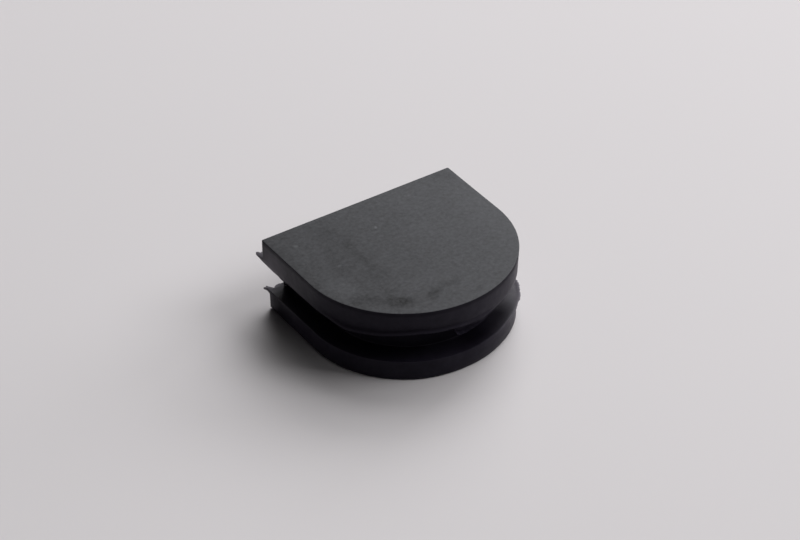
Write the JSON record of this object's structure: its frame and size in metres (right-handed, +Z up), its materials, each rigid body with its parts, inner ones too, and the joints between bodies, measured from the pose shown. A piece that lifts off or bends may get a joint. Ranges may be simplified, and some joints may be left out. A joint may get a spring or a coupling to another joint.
{
  "type": "rubber blanking plug",
  "caption": "D-shaped moulded rubber plug: two flat flanges on a narrower neck, with a groove between them that takes the edge of a wall's U-shaped cut-out.",
  "frame": {"origin": "centre of the round end, on the face that the plug rests on", "axes": "+Z up, through both flanges; +Y towards the flat back; X along the flat back"},
  "size_m": [0.0204, 0.0193, 0.0075],
  "materials": {
    "rubber": "matt black moulded rubber with a thin grey dust on its top face"
  },
  "bodies": {
    "root": {"blanking_plug": "rubber"}
  },
  "joints": []
}
